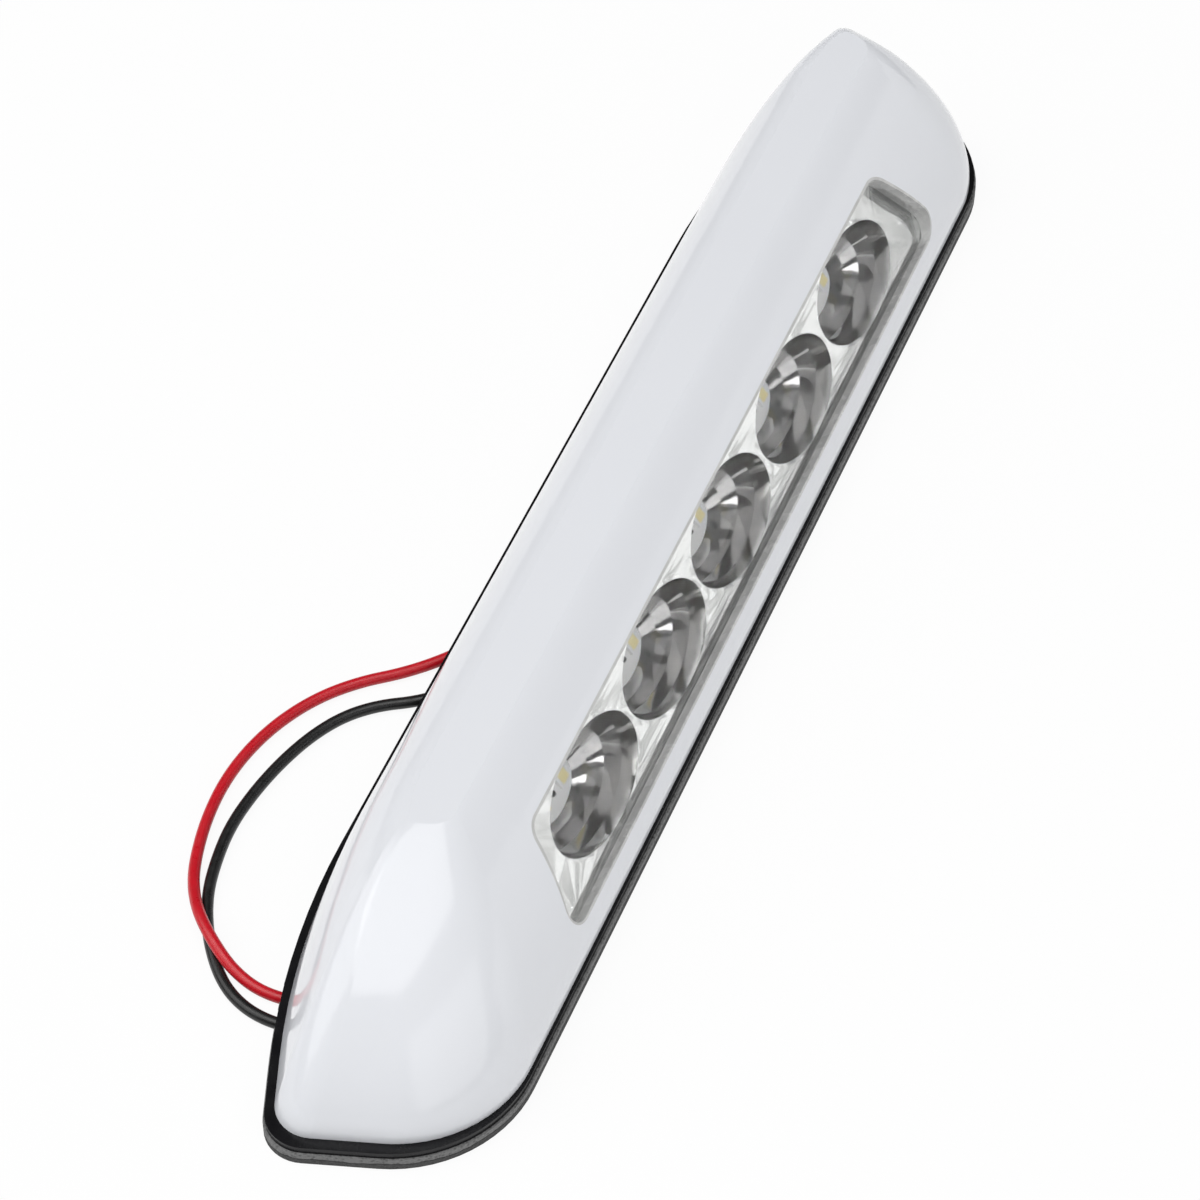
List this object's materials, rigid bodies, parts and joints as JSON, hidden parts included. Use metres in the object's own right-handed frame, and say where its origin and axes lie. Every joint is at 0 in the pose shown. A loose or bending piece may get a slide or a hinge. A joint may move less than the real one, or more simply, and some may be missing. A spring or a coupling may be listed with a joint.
{
  "type": "camper porch light",
  "caption": "Long white moulded wall light with a slanted clear window over bright reflector cups, a black back plate, a foam sealing pad and red and black leads.",
  "frame": {"origin": "middle of the sealing pad's rear face, which lies on the wall", "axes": "+X along the lamp, -Y towards the lit window, +Z out of the wall"},
  "size_m": [0.26, 0.0709, 0.0311],
  "materials": {
    "white_gloss_plastic": "gloss",
    "black_plastic": "gloss",
    "grey_foam": "matt",
    "clear_plastic": "clear",
    "bright_plating": "mirror plated",
    "white_board": "satin",
    "light_phosphor": "satin",
    "black_epoxy": "satin",
    "solder": "bright",
    "bare_aluminium": "mill",
    "screw_steel": "zinc plated",
    "black_rubber": "matt",
    "red_insulation": "satin",
    "black_insulation": "satin",
    "dark_seal": "satin"
  },
  "bodies": {
    "root": {"front_cover": "white_gloss_plastic", "lens": "clear_plastic", "lens_seal": "dark_seal", "reflector": "bright_plating", "led_board": "white_board", "led_packages": "white_board", "led_phosphors": "light_phosphor", "resistors": "black_epoxy", "polarity_diode": "black_epoxy", "solder_joints": "solder", "heat_sink": "bare_aluminium", "board_screws": "screw_steel", "foot_screws": "screw_steel", "base_plate": "black_plastic", "sealing_pad": "grey_foam", "cable_grommet": "black_rubber", "red_lead": "red_insulation", "black_lead": "black_insulation", "red_tail": "red_insulation", "black_tail": "black_insulation"}
  },
  "joints": []
}
